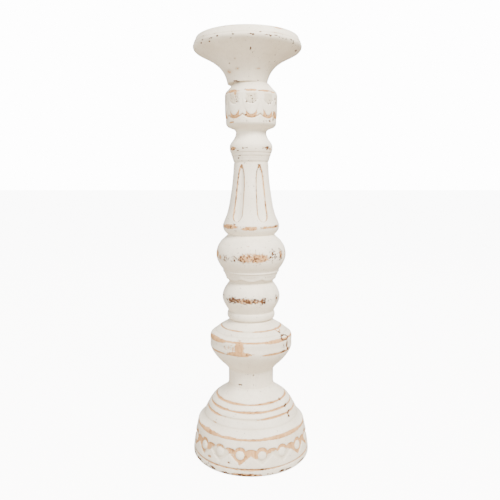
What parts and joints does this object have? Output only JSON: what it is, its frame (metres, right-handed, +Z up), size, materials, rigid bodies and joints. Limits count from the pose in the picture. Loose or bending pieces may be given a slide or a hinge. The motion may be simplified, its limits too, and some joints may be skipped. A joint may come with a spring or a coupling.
{
  "type": "candlestick",
  "caption": "Tall turned wooden candlestick with stacked bulbs, a fluted vase and a carved base, for a pillar candle on a pricket plate.",
  "frame": {"origin": "centre of the felt's resting face, on the axis of the base and columns", "axes": "+Z up along the column, -Y the front, +X the viewer's right when facing the front"},
  "size_m": [0.1298, 0.1298, 0.462],
  "materials": {
    "painted_wood": "chalky off-white paint rubbed through to bare wood on the edges",
    "dowel_wood": "bare turned hardwood",
    "spike_steel": "dull dark steel",
    "felt": "short wool felt"
  },
  "bodies": {
    "root": {"base": "painted_wood", "lower_knop": "painted_wood", "middle_column": "painted_wood", "upper_column": "painted_wood", "candle_plate": "painted_wood", "candle_spike": "spike_steel", "spike_washer": "spike_steel", "lower_dowel": "dowel_wood", "middle_dowel": "dowel_wood", "upper_dowel": "dowel_wood", "plate_dowel": "dowel_wood", "felt_pad": "felt"}
  },
  "joints": []
}
